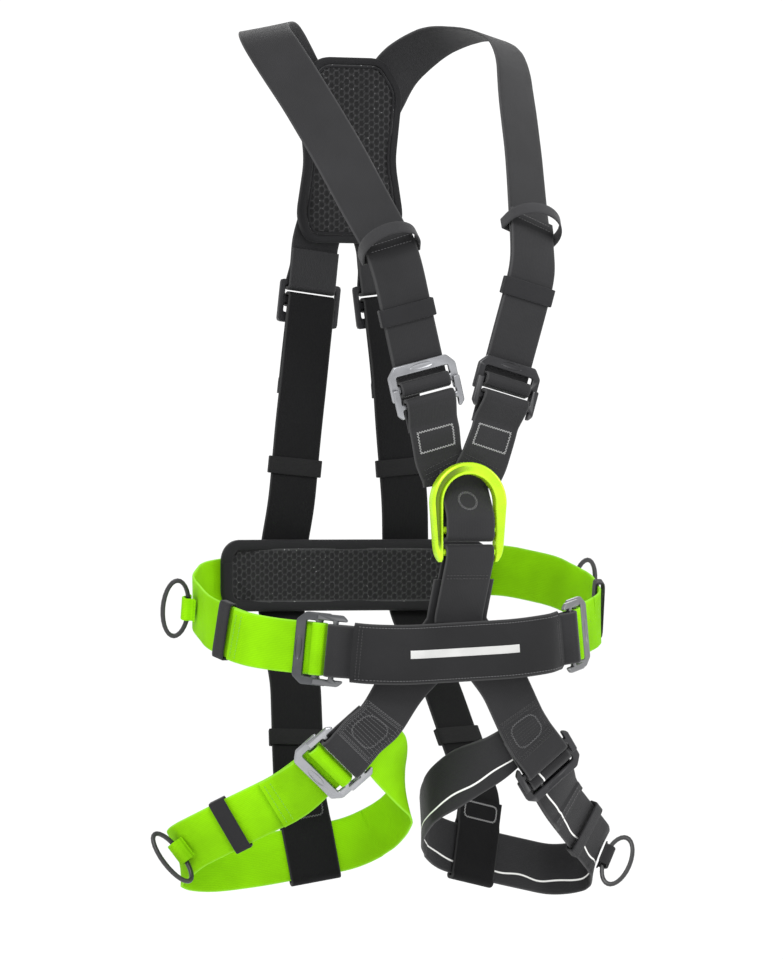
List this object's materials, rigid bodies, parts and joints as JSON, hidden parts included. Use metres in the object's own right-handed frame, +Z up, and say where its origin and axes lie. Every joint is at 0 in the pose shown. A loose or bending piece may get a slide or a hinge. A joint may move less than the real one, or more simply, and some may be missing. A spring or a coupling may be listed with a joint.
{
  "type": "full-body climbing harness",
  "caption": "Full-body climbing harness of flat webbing with padded back and lumbar supports, leg loops, pass-through buckles, gear rings and a chest attachment ring.",
  "frame": {"origin": "centre of the waist loop", "axes": "+Z up, the wearer faces -Y, the wearer's left side is +X"},
  "size_m": [0.4605, 0.2738, 0.7689],
  "materials": {
    "webbing_black": "woven, dull sheen",
    "webbing_lime": "woven, bright",
    "mesh_padding": "open hexagon mesh over foam",
    "alloy_lime": "anodised, satin",
    "alloy_silver": "satin",
    "alloy_black": "satin black",
    "steel_grey": "satin dark grey",
    "ring_black": "smooth"
  },
  "bodies": {
    "harness": {"back_adjuster_l": "alloy_black", "back_adjuster_r": "alloy_black", "back_strap_l": "webbing_black", "back_strap_r": "webbing_black", "chest_buckle_l_frame": "alloy_black", "chest_buckle_r_frame": "alloy_silver", "chest_strap_l": "webbing_black", "chest_strap_r": "webbing_black", "front_sleeve": "webbing_black", "front_strap": "webbing_black", "leg_buckle_l_frame": "alloy_black", "leg_buckle_r_frame": "alloy_silver", "leg_front_strap_l": "webbing_black", "leg_front_strap_r": "webbing_black", "leg_loop_l": "webbing_black", "leg_loop_r": "webbing_lime", "leg_ring_l_tab": "webbing_black", "leg_ring_r_tab": "webbing_lime", "lumbar_pad": "mesh_padding", "park_loop_l": "webbing_black", "park_loop_r": "webbing_black", "ring_loop": "webbing_black", "shoulder_strap_l": "webbing_black", "shoulder_strap_r": "webbing_black", "side_ring_l_tab": "webbing_lime", "side_ring_r_tab": "webbing_lime", "upper_back_pad": "mesh_padding", "waist_buckle_l_frame": "steel_grey", "waist_buckle_r_frame": "steel_grey", "waist_webbing": "webbing_lime"},
    "chest_ring": {"chest_ring": "alloy_lime"},
    "chest_tab": {"chest_tab": "webbing_black"},
    "chest_tongue_l": {"chest_buckle_l_tongue": "alloy_black"},
    "waist_tongue_l": {"waist_buckle_l_tongue": "steel_grey"},
    "leg_tongue_l": {"leg_buckle_l_tongue": "alloy_black"},
    "side_ring_l": {"side_ring_l": "ring_black"},
    "leg_ring_l": {"leg_ring_l": "ring_black"},
    "chest_keeper_l": {"chest_keeper_l": "webbing_black"},
    "back_keeper_l": {"back_keeper_l": "webbing_black"},
    "low_keeper_l": {"low_keeper_l": "webbing_black"},
    "waist_keeper_l": {"waist_keeper_l": "webbing_black"},
    "leg_keeper_l": {"leg_keeper_l": "webbing_black"},
    "chest_tongue_r": {"chest_buckle_r_tongue": "alloy_silver"},
    "waist_tongue_r": {"waist_buckle_r_tongue": "steel_grey"},
    "leg_tongue_r": {"leg_buckle_r_tongue": "alloy_silver"},
    "side_ring_r": {"side_ring_r": "ring_black"},
    "leg_ring_r": {"leg_ring_r": "ring_black"},
    "chest_keeper_r": {"chest_keeper_r": "webbing_black"},
    "back_keeper_r": {"back_keeper_r": "webbing_black"},
    "low_keeper_r": {"low_keeper_r": "webbing_black"},
    "waist_keeper_r": {"waist_keeper_r": "webbing_black"},
    "leg_keeper_r": {"leg_keeper_r": "webbing_black"}
  },
  "joints": [
    {"name": "chest_ring_tip", "type": "hinge", "parent": "harness", "child": "chest_ring", "pos_m": [0, -0.138, 0.051], "axis": [1, 0, 0], "range_deg": [0, 20]},
    {"name": "chest_tab_follow", "type": "hinge", "parent": "harness", "child": "chest_tab", "pos_m": [0, -0.126, 0.116], "axis": [-1, 0, 0], "range_deg": [0, 7]},
    {"name": "chest_tongue_l_tilt", "type": "hinge", "parent": "harness", "child": "chest_tongue_l", "pos_m": [0.03468, -0.1357, 0.17986], "axis": [0.9635, 0.0964, -0.2496], "range_deg": [0, 30]},
    {"name": "waist_tongue_l_tilt", "type": "hinge", "parent": "harness", "child": "waist_tongue_l", "pos_m": [0.11178, -0.10746, -0.02256], "axis": [0.1389, 0.0937, -0.9859], "range_deg": [0, 30]},
    {"name": "leg_tongue_l_tilt", "type": "hinge", "parent": "harness", "child": "leg_tongue_l", "pos_m": [0.09454, -0.08922, -0.12773], "axis": [-0.7624, 0.0755, -0.6426], "range_deg": [0, 30]},
    {"name": "side_ring_l_swing", "type": "hinge", "parent": "harness", "child": "side_ring_l", "pos_m": [0.18377, 0.04096, 0.01839], "axis": [-0.0355, 0.2572, -0.9657], "range_deg": [-70, 70]},
    {"name": "leg_ring_l_swing", "type": "hinge", "parent": "harness", "child": "leg_ring_l", "pos_m": [0.20258, 0.01386, -0.21912], "axis": [-0.547, -0.3156, -0.7753], "range_deg": [-70, 70]},
    {"name": "chest_keeper_l_slide", "type": "slide", "parent": "harness", "child": "chest_keeper_l", "axis": [0.256, -0.06, 0.9648], "range_m": [-0.02, 0]},
    {"name": "back_keeper_l_slide", "type": "slide", "parent": "harness", "child": "back_keeper_l", "axis": [-0.0933, -0.0249, 0.9953], "range_m": [-0.008, 0.012]},
    {"name": "low_keeper_l_slide", "type": "slide", "parent": "harness", "child": "low_keeper_l", "axis": [-0.1661, 0.409, 0.8973], "range_m": [-0.018, 0.018]},
    {"name": "waist_keeper_l_slide", "type": "slide", "parent": "harness", "child": "waist_keeper_l", "axis": [0.2507, 0.9314, 0.2639], "range_m": [-0.003, 0.003]},
    {"name": "leg_keeper_l_slide", "type": "slide", "parent": "harness", "child": "leg_keeper_l", "axis": [-0.6522, -0.6001, 0.4632], "range_m": [-0.018, 0.018]},
    {"name": "chest_tongue_r_tilt", "type": "hinge", "parent": "harness", "child": "chest_tongue_r", "pos_m": [-0.03468, -0.1357, 0.17986], "axis": [0.9635, -0.0964, 0.2496], "range_deg": [0, 30]},
    {"name": "waist_tongue_r_tilt", "type": "hinge", "parent": "harness", "child": "waist_tongue_r", "pos_m": [-0.1117, -0.10752, -0.03231], "axis": [0.0794, -0.0536, 0.9954], "range_deg": [0, 30]},
    {"name": "leg_tongue_r_tilt", "type": "hinge", "parent": "harness", "child": "leg_tongue_r", "pos_m": [-0.09442, -0.08929, -0.12201], "axis": [-0.7477, -0.0868, 0.6583], "range_deg": [0, 30]},
    {"name": "side_ring_r_swing", "type": "hinge", "parent": "harness", "child": "side_ring_r", "pos_m": [-0.18377, 0.04096, 0.00207], "axis": [-0.037, -0.2681, 0.9627], "range_deg": [-70, 70]},
    {"name": "leg_ring_r_swing", "type": "hinge", "parent": "harness", "child": "leg_ring_r", "pos_m": [-0.20253, 0.01387, -0.20708], "axis": [-0.5423, 0.3007, 0.7845], "range_deg": [-70, 70]},
    {"name": "chest_keeper_r_slide", "type": "slide", "parent": "harness", "child": "chest_keeper_r", "axis": [-0.256, -0.06, 0.9648], "range_m": [-0.01, 0.01]},
    {"name": "back_keeper_r_slide", "type": "slide", "parent": "harness", "child": "back_keeper_r", "axis": [0.0933, -0.0249, 0.9953], "range_m": [-0.008, 0.012]},
    {"name": "low_keeper_r_slide", "type": "slide", "parent": "harness", "child": "low_keeper_r", "axis": [0.1486, 0.4321, 0.8895], "range_m": [-0.018, 0.018]},
    {"name": "waist_keeper_r_slide", "type": "slide", "parent": "harness", "child": "waist_keeper_r", "axis": [-0.2522, 0.9368, 0.2426], "range_m": [-0.003, 0.003]},
    {"name": "leg_keeper_r_slide", "type": "slide", "parent": "harness", "child": "leg_keeper_r", "axis": [0.6639, -0.6108, 0.4316], "range_m": [-0.018, 0.018]}
  ],
  "couplings": [
    {"joint": "chest_tab_follow", "follows": "chest_ring_tip", "ratio": 0.34}
  ]
}
